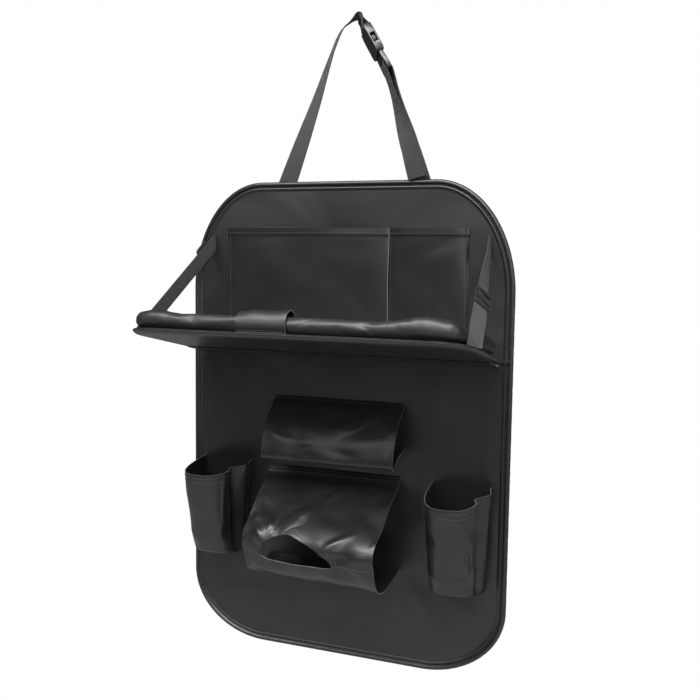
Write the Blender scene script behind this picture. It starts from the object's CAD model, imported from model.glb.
import math

import bmesh
import bpy
import numpy as np
from mathutils import Matrix, Vector


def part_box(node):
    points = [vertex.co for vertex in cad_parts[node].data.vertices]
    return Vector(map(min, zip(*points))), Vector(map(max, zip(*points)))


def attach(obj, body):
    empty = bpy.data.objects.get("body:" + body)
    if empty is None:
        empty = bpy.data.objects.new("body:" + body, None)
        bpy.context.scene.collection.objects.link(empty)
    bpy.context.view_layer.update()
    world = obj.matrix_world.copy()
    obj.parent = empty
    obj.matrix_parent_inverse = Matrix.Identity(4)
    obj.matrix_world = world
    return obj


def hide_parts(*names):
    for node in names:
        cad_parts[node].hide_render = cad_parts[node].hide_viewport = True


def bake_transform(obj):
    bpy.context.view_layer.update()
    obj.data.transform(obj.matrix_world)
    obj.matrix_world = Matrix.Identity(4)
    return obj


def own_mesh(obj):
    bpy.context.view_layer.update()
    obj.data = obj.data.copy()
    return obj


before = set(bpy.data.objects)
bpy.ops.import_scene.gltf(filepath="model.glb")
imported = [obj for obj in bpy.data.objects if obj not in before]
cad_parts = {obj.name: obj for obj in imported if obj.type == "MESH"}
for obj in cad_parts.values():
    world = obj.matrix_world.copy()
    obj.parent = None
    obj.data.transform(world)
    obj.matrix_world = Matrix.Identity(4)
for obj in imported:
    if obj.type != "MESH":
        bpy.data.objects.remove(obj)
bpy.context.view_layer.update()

mm = 0.001
scene = bpy.context.scene
scene.view_settings.view_transform = "Standard"


def vector(*millimetres):
    return Vector(millimetres) * mm


def direction(azimuth, elevation):
    turn, rise = math.radians(azimuth), math.radians(elevation)
    return Vector((math.sin(turn) * math.cos(rise), -math.cos(turn) * math.cos(rise), math.sin(rise)))


camera_place = vector(455.86, -1119.14, 211.8)
camera_azimuth = 21.87
camera_roll = math.radians(0.78)
back = direction(camera_azimuth, 5.53)
level = Vector((math.cos(math.radians(camera_azimuth)), math.sin(math.radians(camera_azimuth)), 0))
upright = back.cross(level)
right = math.cos(camera_roll) * level + math.sin(camera_roll) * upright
above = math.cos(camera_roll) * upright - math.sin(camera_roll) * level
camera = bpy.data.objects.new("camera", bpy.data.cameras.new("camera"))
camera.data.lens = 48.352
camera.data.sensor_width = 36
camera_axes = Matrix((right, above, back)).transposed().to_4x4()
camera.matrix_world = Matrix.Translation(camera_place) @ camera_axes
scene.collection.objects.link(camera)
scene.camera = camera


def wire(tree, *links):
    """Links nodes, each time from a node's output to another node's input."""
    for start, output, end, entry in links:
        tree.links.new(start.outputs[output], end.inputs[entry])


surround_light = 0.08
world = bpy.data.worlds.new("white_surround")
world.use_nodes = True
scene.world = world
tree = world.node_tree
surround = tree.nodes["Background"]
surround.inputs["Color"].default_value = (1, 1, 1, 1)
seen = tree.nodes.new("ShaderNodeLightPath")
strength = tree.nodes.new("ShaderNodeMapRange")
strength.inputs["To Min"].default_value = surround_light
strength.inputs["To Max"].default_value = 1.0
wire(tree, (seen, "Is Camera Ray", strength, "Value"), (strength, "Result", surround, "Strength"))


def soft_box(name, azimuth, elevation, distance, size, watts):
    light = bpy.data.lights.new(name, "AREA")
    light.shape = "RECTANGLE"
    light.size, light.size_y = size
    light.energy = watts
    lamp = bpy.data.objects.new(name, light)
    towards = direction(azimuth, elevation)
    aim = towards.to_track_quat("Z", "Y").to_matrix().to_4x4()
    lamp.matrix_world = Matrix.Translation(towards * distance) @ aim
    scene.collection.objects.link(lamp)


soft_box("soft_box_front", -6, 32, 2.4, (3.0, 1.9), 27)
soft_box("soft_box_above", -2, 58, 2.2, (2.4, 0.9), 110)
soft_box("soft_box_right", 72, 20, 2.0, (1.0, 1.7), 16)
soft_box("strip_light_right", 27, 26, 2.3, (0.42, 1.7), 14)

floor_half, floor_height = 30, -0.62
floor_mesh = bpy.data.meshes.new("floor")
floor_mesh.from_pydata(
    [(x * floor_half, y * floor_half, floor_height) for x, y in ((-1, -1), (1, -1), (1, 1), (-1, 1))],
    [], [(0, 1, 2, 3)],
)
floor = bpy.data.objects.new("floor", floor_mesh)
scene.collection.objects.link(floor)
floor_finish = bpy.data.materials.new("pale_floor")
floor_finish.use_nodes = True
painted = floor_finish.node_tree.nodes["Principled BSDF"]
painted.inputs["Base Color"].default_value = (0.42, 0.42, 0.42, 1)
painted.inputs["Roughness"].default_value = 0.8
lit = floor_finish.node_tree.nodes.new("ShaderNodeEmission")
seen = floor_finish.node_tree.nodes.new("ShaderNodeLightPath")
shown = floor_finish.node_tree.nodes.new("ShaderNodeMixShader")
wire(
    floor_finish.node_tree, (seen, "Is Camera Ray", shown, "Fac"), (painted, "BSDF", shown, 1),
    (lit, "Emission", shown, 2),
    (shown, "Shader", floor_finish.node_tree.nodes["Material Output"], "Surface"),
)
floor_mesh.materials.append(floor_finish)

# Panel core: the stiff fibre board and the woven backing behind it. Both keep their own solids.
# The backing is a plain black cloth laminated to foam, and the board shows only at cut holes.


def effect_group(name, inputs, outputs):
    group = bpy.data.node_groups.new(name, "ShaderNodeTree")
    for label, value in inputs:
        socket = group.interface.new_socket(name=label, in_out="INPUT", socket_type="NodeSocketFloat")
        socket.default_value = value
    for label in outputs:
        group.interface.new_socket(name=label, in_out="OUTPUT", socket_type="NodeSocketFloat")
    return group, group.nodes.new("NodeGroupInput"), group.nodes.new("NodeGroupOutput")


def add_node(tree, kind, values=None, **settings):
    node = tree.nodes.new(kind)
    for key, value in settings.items():
        setattr(node, key, value)
    for key, value in (values or {}).items():
        node.inputs[key].default_value = value
    return node


# Plain weave on Object coordinates: crossing threads from two waves, broken by a little noise.
weave, weave_in, weave_out = effect_group(
    "plain_weave", [("Threads per metre", 1600.0), ("Slub", 0.25)], ["Height", "Tone"]
)
place = add_node(weave, "ShaderNodeTexCoord")
scaled = add_node(weave, "ShaderNodeVectorMath", operation="SCALE")
apart = add_node(weave, "ShaderNodeSeparateXYZ")
warp = add_node(weave, "ShaderNodeMath", operation="SINE")
weft = add_node(weave, "ShaderNodeMath", operation="SINE")
crossing = add_node(weave, "ShaderNodeMath", operation="MULTIPLY")
slubs = add_node(weave, "ShaderNodeTexNoise", {"Scale": 90.0, "Detail": 4.0})
slub_part = add_node(weave, "ShaderNodeMath", operation="MULTIPLY")
raised = add_node(weave, "ShaderNodeMath", {1: 0.5}, operation="MULTIPLY_ADD")
wire(
    weave, (place, "Object", scaled, 0), (weave_in, "Threads per metre", scaled, "Scale"),
    (scaled, 0, apart, 0), (apart, "X", warp, 0), (apart, "Z", weft, 0), (warp, 0, crossing, 0),
    (weft, 0, crossing, 1), (place, "Object", slubs, "Vector"), (slubs, "Fac", slub_part, 0),
    (weave_in, "Slub", slub_part, 1), (crossing, 0, raised, 0), (slub_part, 0, raised, 2),
    (raised, 0, weave_out, "Height"), (slubs, "Fac", weave_out, "Tone"),
)


def spaced(values):
    """Socket labels from keyword names."""
    return {key.replace("_", " "): value for key, value in values.items()}


class Finish:
    """A Principled material whose colour and roughness run between two values by a mask."""

    def __init__(self, name, dark, light, smooth, rough, depth, **sockets):
        self.material = bpy.data.materials.new(name)
        self.material.use_nodes = True
        self.tree = self.material.node_tree
        self.surface = self.tree.nodes["Principled BSDF"]
        self.colour = add_node(self.tree, "ShaderNodeMix", data_type="RGBA")
        self.colour.inputs[6].default_value = (*dark, 1)
        self.colour.inputs[7].default_value = (*light, 1)
        self.gloss = add_node(self.tree, "ShaderNodeMapRange", {"To Min": smooth, "To Max": rough})
        self.bump = add_node(self.tree, "ShaderNodeBump", {"Strength": 1.0, "Distance": depth})
        wire(
            self.tree, (self.colour, 2, self.surface, "Base Color"),
            (self.gloss, "Result", self.surface, "Roughness"),
            (self.bump, "Normal", self.surface, "Normal"),
        )
        for key, value in spaced(sockets).items():
            self.surface.inputs[key].default_value = value

    def relief(self, group, depth, **values):
        """Adds larger folds under the fine grain."""
        node = add_node(self.tree, "ShaderNodeGroup", spaced(values), node_tree=group)
        folds = add_node(self.tree, "ShaderNodeBump", {"Strength": 1.0, "Distance": depth})
        wire(self.tree, (node, "Height", folds, "Height"), (folds, "Normal", self.bump, "Normal"))
        return self

    def effect(self, group, gloss="Tone", **values):
        """Takes colour, gloss and fine grain from a group and returns the material."""
        node = add_node(self.tree, "ShaderNodeGroup", spaced(values), node_tree=group)
        wire(
            self.tree, (node, "Tone", self.colour, 0), (node, gloss, self.gloss, "Value"),
            (node, "Height", self.bump, "Height"),
        )
        return self.material


backing_cloth = Finish(
    "backing_cloth", (0.012, 0.012, 0.014), (0.022, 0.022, 0.024), 0.7, 0.85, 0.00012,
).effect(weave, Threads_per_metre=4200.0)

fibres, fibres_in, fibres_out = effect_group("pressed_fibres", [("Scale", 300.0)], ["Height", "Tone"])
place = add_node(fibres, "ShaderNodeTexCoord")
flecks = add_node(fibres, "ShaderNodeTexNoise", {"Detail": 8.0, "Roughness": 0.7})
wire(
    fibres, (place, "Object", flecks, "Vector"), (fibres_in, "Scale", flecks, "Scale"),
    (flecks, "Fac", fibres_out, "Height"), (flecks, "Fac", fibres_out, "Tone"),
)
fibre_board = Finish(
    "fibre_board", (0.07, 0.055, 0.04), (0.13, 0.105, 0.08), 0.85, 0.95, 0.0002,
).effect(fibres)


def dress(node, material):
    """Gives a node that keeps its own solid its material."""
    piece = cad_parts[node]
    piece.data.materials.clear()
    piece.data.materials.append(material)


dress("panel_board", fibre_board)
dress("panel_back", backing_cloth)

# Panel front: one skin of smooth black leatherette stretched over the board. It lies flat under
# the pockets and waves a little where it is free, most in the lower right quarter.

# Leatherette grain: fine pebbles, pores and a slow unevenness of the gloss.
grain, grain_in, grain_out = effect_group(
    "leather_grain", [("Pebbles per metre", 1300.0), ("Slow scale", 22.0)], ["Height", "Tone", "Gloss"]
)
place = add_node(grain, "ShaderNodeTexCoord")
pebbles = add_node(grain, "ShaderNodeTexVoronoi", feature="SMOOTH_F1")
pores = add_node(grain, "ShaderNodeTexNoise", {"Scale": 2600.0, "Detail": 2.0})
both = add_node(grain, "ShaderNodeMath", {1: 0.35}, operation="MULTIPLY_ADD")
slow = add_node(grain, "ShaderNodeTexNoise", {"Detail": 3.0, "Roughness": 0.55})
rubbed = add_node(grain, "ShaderNodeMath", {1: 0.3}, operation="MULTIPLY_ADD")
wire(
    grain, (place, "Object", pebbles, "Vector"), (grain_in, "Pebbles per metre", pebbles, "Scale"),
    (place, "Object", pores, "Vector"), (pores, "Fac", both, 0), (pebbles, "Distance", both, 2),
    (both, 0, grain_out, "Height"), (place, "Object", slow, "Vector"),
    (grain_in, "Slow scale", slow, "Scale"), (slow, "Fac", grain_out, "Tone"),
    (pebbles, "Distance", rubbed, 0), (slow, "Fac", rubbed, 2), (rubbed, 0, grain_out, "Gloss"),
)

# Crumples of sewn leatherette: dents from a slow noise, with crisper ridges where it is folded.
crumples, crumples_in, crumples_out = effect_group(
    "sewn_crumples", [("Folds per metre", 20.0), ("Crispness", 0.5)], ["Height"]
)
place = add_node(crumples, "ShaderNodeTexCoord")
dents = add_node(crumples, "ShaderNodeTexNoise", {"Detail": 1.5, "Roughness": 0.45, "Distortion": 0.5})
folded = add_node(crumples, "ShaderNodeMath", {1: 0.5}, operation="SUBTRACT")
ridge = add_node(crumples, "ShaderNodeMath", operation="ABSOLUTE")
crisp = add_node(crumples, "ShaderNodeMix", data_type="FLOAT")
wire(
    crumples, (place, "Object", dents, "Vector"), (crumples_in, "Folds per metre", dents, "Scale"),
    (dents, "Fac", folded, 0), (folded, 0, ridge, 0), (crumples_in, "Crispness", crisp, 0),
    (folded, 0, crisp, 2), (ridge, 0, crisp, 3), (crisp, 0, crumples_out, "Height"),
)


def black_leatherette(name, smooth=0.28, rough=0.40):
    return Finish(
        name, (0.006, 0.0064, 0.0074), (0.010, 0.0105, 0.012), smooth, rough, 0.00005,
        Specular_IOR_Level=0.5,
    )


leatherette = black_leatherette("leatherette").effect(grain, "Gloss")
leatherette_over_board = black_leatherette("leatherette_over_board").relief(
    crumples, 0.010, Folds_per_metre=6.5, Crispness=0.0,
).effect(grain, "Gloss")
leatherette_creased = black_leatherette("leatherette_creased").relief(
    crumples, 0.007, Folds_per_metre=19.0, Crispness=0.5,
).effect(grain, "Gloss")

# The raw edge of leatherette shows its pale grey cloth and foam.
cut_edge = Finish(
    "leatherette_cut_edge", (0.05, 0.05, 0.052), (0.14, 0.14, 0.145), 0.8, 0.95, 0.0001,
).effect(fibres, Scale=900.0)

# Sizes in millimetres: a sheet's thickness, the gap between stacked pieces, the panel's front face,
# where a sheet on it is seated and that sheet's middle, and the panel's outline.
skin = 1.0
gap = 0.3
panel_front_y = -5.4
seat_y = panel_front_y - gap
sheet_y = seat_y - skin / 2
panel_half = (220.0, 310.0)
panel_corners = {1: (101.0, 140.0), -1: (108.0, 90.0)}
binding_width = 12.0


def panel_edge(steps):
    """Points and outward normals of the right half of the panel's outline, from bottom to top."""
    points, normals = [], []
    for side, (reach, rise) in ((-1, panel_corners[-1]), (1, panel_corners[1])):
        turns = np.linspace(np.pi / 2, 0, steps) if side < 0 else np.linspace(0, np.pi / 2, steps)
        x = panel_half[0] - reach + reach * np.cos(turns)
        z = side * (panel_half[1] - rise + rise * np.sin(turns))
        normal = np.stack([np.cos(turns) / reach, side * np.sin(turns) / rise], axis=1)
        points.append(np.stack([x, z], axis=1))
        normals.append(normal / np.linalg.norm(normal, axis=1)[:, None])
    return np.concatenate(points), np.concatenate(normals)


def creases(x, z, lines):
    """Soft folds along segments, each (x0, z0, x1, z1, width, height), highest half way along."""
    total = np.zeros_like(x)
    for x0, z0, x1, z1, width, height in lines:
        run = np.array([x1 - x0, z1 - z0])
        share = np.clip(((x - x0) * run[0] + (z - z0) * run[1]) / (run @ run), 0, 1)
        away = np.hypot(x - x0 - share * run[0], z - z0 - share * run[1])
        total = total + height * np.exp(-(away / width) ** 2) * (0.3 + 0.7 * np.sin(np.pi * share))
    return total


def waviness(x, z, seed, size, amount):
    """Slow irregular waves of one size, from six sine waves in seeded directions."""
    draw = np.random.default_rng(seed)
    total = np.zeros_like(x)
    for _ in range(6):
        heading, phase = draw.uniform(0, 2 * np.pi, 2)
        length = size * draw.uniform(0.7, 1.5)
        total = total + np.sin((x * np.cos(heading) + z * np.sin(heading)) * 2 * np.pi / length + phase)
    return amount * total / 3


def smooth_step(value, start, end):
    share = np.clip((value - start) / (end - start), 0, 1)
    return share * share * (3 - 2 * share)


def surface_normals(middle):
    across = np.gradient(middle, axis=1)
    along = np.gradient(middle, axis=0)
    normal = np.cross(across, along)
    return normal / np.maximum(np.linalg.norm(normal, axis=2), 1e-9)[:, :, None]


def finish_mesh(name, points, faces, materials, face_materials=None, uvs=None, sharp=40):
    """A closed smooth-shaded mesh from points in millimetres, its sharp corners kept."""
    mesh = bpy.data.meshes.new(name)
    mesh.from_pydata((np.asarray(points) * mm).tolist(), [], faces)
    for material in materials:
        mesh.materials.append(material)
    if face_materials is not None:
        mesh.polygons.foreach_set("material_index", face_materials)
    if uvs is not None:
        layer = mesh.uv_layers.new(name="run")
        corners = np.empty(len(mesh.loops), dtype=np.int32)
        mesh.loops.foreach_get("vertex_index", corners)
        layer.data.foreach_set("uv", (np.asarray(uvs)[corners] * mm).astype(np.float32).ravel())
    mesh.polygons.foreach_set("use_smooth", [True] * len(mesh.polygons))
    mesh.set_sharp_from_angle(angle=math.radians(sharp))
    mesh.update()
    piece = bpy.data.objects.new(name, mesh)
    scene.collection.objects.link(piece)
    return piece


def thick_sheet(name, middle, thickness, raw=(), material=leatherette):
    """A sheet round a grid of middle points. raw names the sides whose cut edge shows pale."""
    rows, columns = middle.shape[:2]
    normal = surface_normals(middle)
    half = np.broadcast_to(np.asarray(thickness, float), (rows, columns))[:, :, None] / 2
    points = np.concatenate([(middle + side * normal * half).reshape(-1, 3) for side in (1, -1)])
    size = rows * columns
    number = np.arange(size).reshape(rows, columns)
    a, b, c, d = number[:-1, :-1], number[:-1, 1:], number[1:, 1:], number[1:, :-1]
    front = np.stack([a, b, c, d], axis=2).reshape(-1, 4)
    faces = [front, front[:, ::-1] + size]
    slots = [0] * (2 * len(front))
    sides = {
        "start": number[0, ::-1], "end": number[-1, :],
        "left": number[:, 0], "right": number[::-1, -1],
    }
    for side, line in sides.items():
        strip = np.stack([line[:-1], line[:-1] + size, line[1:] + size, line[1:]], axis=1)
        faces.append(strip[:, ::-1])
        slots += [1 if side in raw else 0] * len(strip)
    return finish_mesh(name, points, np.concatenate(faces).tolist(), [material, cut_edge], slots)


def settle(piece, node, body="root"):
    """Puts a piece in the place of a node, on that node's body."""
    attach(piece, body)
    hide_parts(node)


skin_inset = binding_width + gap
corner_steps = 22
edge_points, edge_normals = panel_edge(corner_steps)
skin_edge = edge_points - skin_inset * edge_normals
straight = np.linspace(skin_edge[corner_steps - 1, 1], skin_edge[corner_steps, 1], 130)[1:-1]
row_heights = np.concatenate([skin_edge[:corner_steps, 1], straight, skin_edge[corner_steps:, 1]])
half_widths = np.interp(row_heights, skin_edge[:, 1], skin_edge[:, 0])
spread = np.linspace(-1, 1, 141)
x = half_widths[:, None] * spread[None, :]
z = np.repeat(row_heights[:, None], len(spread), axis=1)
# Free areas, away from what is sewn on: the top, the bottom, the right margin and a band left of
# the bottle pocket.
from_edge = smooth_step(np.abs(x) / half_widths[:, None], 1.0, 0.9)
free = smooth_step(z, 265, 285) + (1 - smooth_step(z, -215, -198)) * from_edge
free = free + smooth_step(x, 180, 190) * (1 - smooth_step(z, 50, 75)) * (z > -210)
free = free + smooth_step(x, 92, 100) * (1 - smooth_step(x, 114, 120)) * (1 - smooth_step(z, 20, 60))
swell = 0.35 * waviness(x, z, 3, 150, 1.0) + creases(x, z, [
    (95, -205, 130, -250, 10, 1.0), (70, -215, 105, -262, 9, 0.8), (150, -215, 185, -250, 12, 0.8),
    (105, -30, 112, -120, 8, 0.6), (196, -60, 200, -160, 7, 0.9), (188, 30, 201, -20, 7, 0.8),
    (186, -40, 203, -62, 6, 0.8),
])
lift = np.clip(swell, -0.1, 1.4) * np.clip(free, 0, 1)
middle = np.stack([x, panel_front_y + skin / 2 - lift, z], axis=2)
panel_front = thick_sheet("panel_front_skin", middle, skin, material=leatherette_over_board)
settle(panel_front, "panel_front")

# Edge binding: a strip of the same leatherette folded round the panel's edge over a soft cord,
# stitched through in the groove beside the roll. The fold puckers slightly between stitches.

# The section is given by points (inset from the panel's edge, y).
binding_section = np.array([
    (12.0, 0.0), (9.0, 0.0), (6.0, 0.0), (3.6, 0.0), (2.3, -0.25), (1.2, -0.9), (0.45, -1.9),
    (0.05, -3.1), (0.0, -4.4), (0.35, -5.7), (1.1, -6.7), (2.2, -7.35), (3.3, -7.5), (4.3, -7.2),
    (5.2, -6.3), (5.9, -5.2), (6.6, -4.75), (7.2, -5.2), (7.7, -6.1), (8.4, -6.75), (9.2, -6.8),
    (10.0, -6.4), (10.8, -5.85), (12.0, -5.4), (12.0, -4.4), (3.9, -4.4), (3.9, -1.0), (12.0, -1.0),
])
roll_points = slice(3, 15)
ridge_points = slice(17, 23)


def panel_ring(steps_per_corner, spacing):
    """Points and normals once round the panel's outline, evenly close on its straight sides."""
    half_points, half_normals = panel_edge(steps_per_corner)
    all_points = np.concatenate([half_points, (half_points * (-1, 1))[::-1]])
    all_normals = np.concatenate([half_normals, (half_normals * (-1, 1))[::-1]])
    points, normals = [], []
    for i, start in enumerate(all_points):
        end = all_points[(i + 1) % len(all_points)]
        count = max(int(np.linalg.norm(end - start) / spacing), 1)
        for step in range(count):
            share = step / count
            points.append(start + (end - start) * share)
            normal = all_normals[i] * (1 - share) + all_normals[(i + 1) % len(all_points)] * share
            normals.append(normal / np.linalg.norm(normal))
    return np.array(points), np.array(normals)


ring_points, ring_normals = panel_ring(56, 2.2)
steps = np.linalg.norm(np.diff(ring_points, axis=0, append=ring_points[:1]), axis=1)
run = np.concatenate([[0], np.cumsum(steps)[:-1]])
section_points = []
pucker = 0.22 * np.sin(run * 2 * np.pi / 9.3 + 1.3 * np.sin(run / 31))
pucker = pucker + 0.18 * np.sin(run * 2 * np.pi / 23)
for k, (inset, y) in enumerate(binding_section):
    depth = np.full(len(run), y)
    away = np.full(len(run), inset)
    if roll_points.start <= k < roll_points.stop:
        depth = depth + np.where(y < -2, 0.5, 0.0) * pucker
        away = away - 0.25 * pucker * (y < -1) * (inset < 3)
    if ridge_points.start <= k < ridge_points.stop:
        depth = depth - 0.35 * pucker
    away = np.maximum(away, 0.0)
    flat = ring_points - away[:, None] * ring_normals
    section_points.append(np.stack([flat[:, 0], depth, flat[:, 1]], axis=1))
points = np.stack(section_points, axis=1).reshape(-1, 3)


def tube_faces(rings, size, closed=False):
    """Faces round a tube of rings, each of size points. An open tube is capped at both ends."""
    faces = []
    for i in range(rings if closed else rings - 1):
        here, following = i * size, (i + 1) % rings * size
        for k in range(size):
            after = (k + 1) % size
            faces.append((here + k, here + after, following + after, following + k))
    if not closed:
        faces += [tuple(range(size))[::-1], tuple((rings - 1) * size + k for k in range(size))]
    return faces


def face_outwards(piece):
    edited = bmesh.new()
    edited.from_mesh(piece.data)
    if edited.calc_volume(signed=True) < 0:
        bmesh.ops.reverse_faces(edited, faces=edited.faces)
        edited.to_mesh(piece.data)
    edited.free()


faces = tube_faces(len(run), len(binding_section), closed=True)
edge_binding = finish_mesh("edge_binding_roll", points, faces, [leatherette], sharp=50)
face_outwards(edge_binding)
settle(edge_binding, "edge_binding")

# Every seam below is sewn with one black bonded thread, a stitch about every 4 millimetres.
twist, twist_in, twist_out = effect_group("twisted_thread", [("Scale", 1900.0)], ["Height", "Tone"])
place = add_node(twist, "ShaderNodeTexCoord")
plies = add_node(
    twist, "ShaderNodeTexWave", {"Distortion": 1.5}, wave_type="BANDS", bands_direction="DIAGONAL",
)
wire(
    twist, (place, "Object", plies, "Vector"), (twist_in, "Scale", plies, "Scale"),
    (plies, "Fac", twist_out, "Height"), (plies, "Fac", twist_out, "Tone"),
)
thread = Finish(
    "sewing_thread", (0.02, 0.02, 0.022), (0.05, 0.05, 0.053), 0.45, 0.65, 0.00008,
).effect(twist)

stitching = bpy.data.node_groups.new("stitching", "GeometryNodeTree")
stitching.interface.new_socket(name="Seam", in_out="INPUT", socket_type="NodeSocketGeometry")
stitch_sockets = {}
for label in ("Pitch", "Length", "Thread"):
    socket = stitching.interface.new_socket(name=label, in_out="INPUT", socket_type="NodeSocketFloat")
    stitch_sockets[label] = socket.identifier
stitching.interface.new_socket(name="Stitches", in_out="OUTPUT", socket_type="NodeSocketGeometry")
seam_in = stitching.nodes.new("NodeGroupInput")
seam_out = stitching.nodes.new("NodeGroupOutput")
spread_out = add_node(stitching, "GeometryNodeResampleCurve", mode="LENGTH")
bead = add_node(stitching, "GeometryNodeMeshUVSphere", {"Segments": 6, "Rings": 5, "Radius": 1.0})
laid = add_node(stitching, "GeometryNodeInstanceOnPoints")
heading = add_node(stitching, "GeometryNodeInputTangent")
turned = add_node(stitching, "FunctionNodeAlignRotationToVector", axis="Z")
stretch = add_node(stitching, "ShaderNodeCombineXYZ")
half_length = add_node(stitching, "ShaderNodeMath", {1: 0.5}, operation="MULTIPLY")
rounded = add_node(stitching, "GeometryNodeSetShadeSmooth")
solid = add_node(stitching, "GeometryNodeRealizeInstances")
threaded = add_node(stitching, "GeometryNodeSetMaterial", {"Material": thread})
wire(
    stitching, (seam_in, "Seam", spread_out, "Curve"), (seam_in, "Pitch", spread_out, "Length"),
    (spread_out, "Curve", laid, "Points"), (bead, "Mesh", laid, "Instance"),
    (heading, 0, turned, "Vector"), (turned, 0, laid, "Rotation"), (seam_in, "Length", half_length, 0),
    (seam_in, "Thread", stretch, "X"), (seam_in, "Thread", stretch, "Y"),
    (half_length, 0, stretch, "Z"), (stretch, 0, laid, "Scale"), (laid, 0, solid, 0),
    (solid, 0, rounded, 0), (rounded, 0, threaded, "Geometry"), (threaded, 0, seam_out, 0),
)


def evaluated_mesh(piece):
    """A new mesh of the piece with its modifiers applied."""
    graph = bpy.context.evaluated_depsgraph_get()
    return bpy.data.meshes.new_from_object(piece.evaluated_get(graph), depsgraph=graph)


def sew(name, seams, pitch=4.0, length=3.1, radius=0.42, closed=False, body="root"):
    """Stitches along each seam, a list of points in millimetres on the sewn surface."""
    curve = bpy.data.curves.new(name, "CURVE")
    curve.dimensions = "3D"
    for seam in seams:
        spline = curve.splines.new("POLY")
        spline.points.add(len(seam) - 1)
        places = np.column_stack([np.asarray(seam) * mm, np.ones(len(seam))])
        spline.points.foreach_set("co", places.ravel())
        spline.use_cyclic_u = closed
    guide = bpy.data.objects.new(name + "_guide", curve)
    scene.collection.objects.link(guide)
    modifier = guide.modifiers.new("stitching", "NODES")
    modifier.node_group = stitching
    for label, value in (("Pitch", pitch), ("Length", length), ("Thread", radius)):
        modifier[stitch_sockets[label]] = value * mm
    mesh = evaluated_mesh(guide)
    bpy.data.objects.remove(guide)
    mesh.name = name
    stitches = bpy.data.objects.new(name, mesh)
    scene.collection.objects.link(stitches)
    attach(stitches, body)


groove_inset, groove_y = 6.6, -4.95
groove = ring_points - groove_inset * ring_normals
groove_seam = np.stack([groove[:, 0], np.full(len(run), groove_y), groove[:, 1]], axis=1)
sew("binding_stitches", [groove_seam], closed=True)

# Document pocket: one leatherette sheet sewn to the panel at both sides, along the bottom and up
# a middle seam, so that it bulges into a wide and a narrow pocket. Its top edge is turned down
# and stitched, and the raw edges of the hem and of the middle seam show as pale lines.

document_x, document_z, document_seam, document_bulge = (-167, 162), (112, 251), 60, 11
hem_depth = 9


def graded(start, end, count, ends=0.0):
    """Values from start to end, closer together towards both ends by the share given."""
    share = np.linspace(0, 1, count)
    eased = (1 - np.cos(share * np.pi)) / 2
    return start + (end - start) * (share * (1 - ends) + eased * ends)


def grid(first, second):
    return np.meshgrid(np.asarray(first, float), np.asarray(second, float))


def document_surface(x, z):
    """How far the pocket's middle surface stands off the panel."""
    v = (z - document_z[0]) / (document_z[1] - document_z[0])
    left = x < document_seam
    start = np.where(left, document_x[0], document_seam)
    end = np.where(left, document_seam, document_x[1])
    across = np.clip(np.sin(np.pi * (x - start) / (end - start)), 0, 1)
    stand = document_bulge * across ** 0.6 * np.clip(v, 0, 1) ** 0.75
    folds = creases(x, z, [
        (-160, 118, -120, 150, 7, -1.2), (-120, 115, -60, 128, 8, 0.9), (50, 120, 20, 160, 7, -1.0),
        (66, 118, 90, 150, 6, -0.9), (156, 120, 138, 165, 6, -0.8), (-150, 235, -70, 244, 9, -0.8),
        (-20, 240, 50, 236, 9, 0.8), (100, 215, 150, 240, 8, -0.7), (-100, 180, 10, 150, 22, 0.8),
    ])
    return stand + (folds + waviness(x, z, 11, 75, 0.35)) * np.clip(stand / 6, 0, 1)


xs = np.concatenate([
    graded(document_x[0], document_seam, 96, 0.6)[:-1], graded(document_seam, document_x[1], 46, 0.6),
])
hem_line = document_z[1] - hem_depth
zs = np.concatenate([
    np.linspace(document_z[0], hem_line - 1, 52), document_z[1] - np.linspace(hem_depth, 0, 9),
])
x, z = grid(xs, zs)
hem = smooth_step(z, hem_line - 1, hem_line + 0.4)
stand = document_surface(x, z)
middle = np.stack([x, sheet_y - stand - 0.35 * hem, z], axis=2)
document_pocket = thick_sheet(
    "document_pocket_sheet", middle, skin + 0.7 * hem, raw=("end", "left", "right"),
)
settle(document_pocket, "document_pocket")


def on_document(xs, zs, proud=0.55):
    """Points on the pocket's outer face."""
    xs, zs = np.broadcast_arrays(np.asarray(xs, float), np.asarray(zs, float))
    away = document_surface(xs, zs) + proud
    return np.stack([xs, sheet_y - away, zs], axis=1)


upward = np.linspace(document_z[0] + 3, document_z[1] - 2, 60)
upright_seams = (document_x[0] + 3, document_x[1] - 3, document_seam + 2.6)
sew("document_pocket_stitches", [
    on_document(np.linspace(document_x[0] + 3, document_x[1] - 3, 160), document_z[0] + 3),
    *(on_document(seam_x, upward) for seam_x in upright_seams),
    on_document(np.linspace(document_x[0] + 4, document_x[1] - 4, 200), hem_line + 2, 1.15),
])

# The middle seam joins the two halves of the sheet edge to edge, in a narrow upright lip.
lip_reach = 3.0
r, z = grid(np.linspace(0.2, lip_reach, 4), np.linspace(document_z[0], document_z[1], 40))
lean = 0.5 * np.sin(z / 17)
middle = np.stack([document_seam + lean * r / lip_reach, sheet_y - r, z], axis=2)
seam_lip = thick_sheet("document_seam_lip", middle, 0.9, raw=("right", "end"))
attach(seam_lip, "root")

# Umbrella sleeve: a leatherette band sewn on along its top and bottom edges and open at both
# ends. It droops from its top seam, and its cut ends show pale.

umbrella_x, umbrella_top, umbrella_depth, umbrella_drop = (-95, 85), 31, 45, 76


def hermite(start, end, leaving, arriving, share):
    """The cubic between two points, with its speeds at both."""
    cubed = (2 * start - 2 * end + leaving + arriving) * share**3
    squared = (-3 * start + 3 * end - 2 * leaving - arriving) * share**2
    return cubed + squared + leaving * share + start


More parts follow.
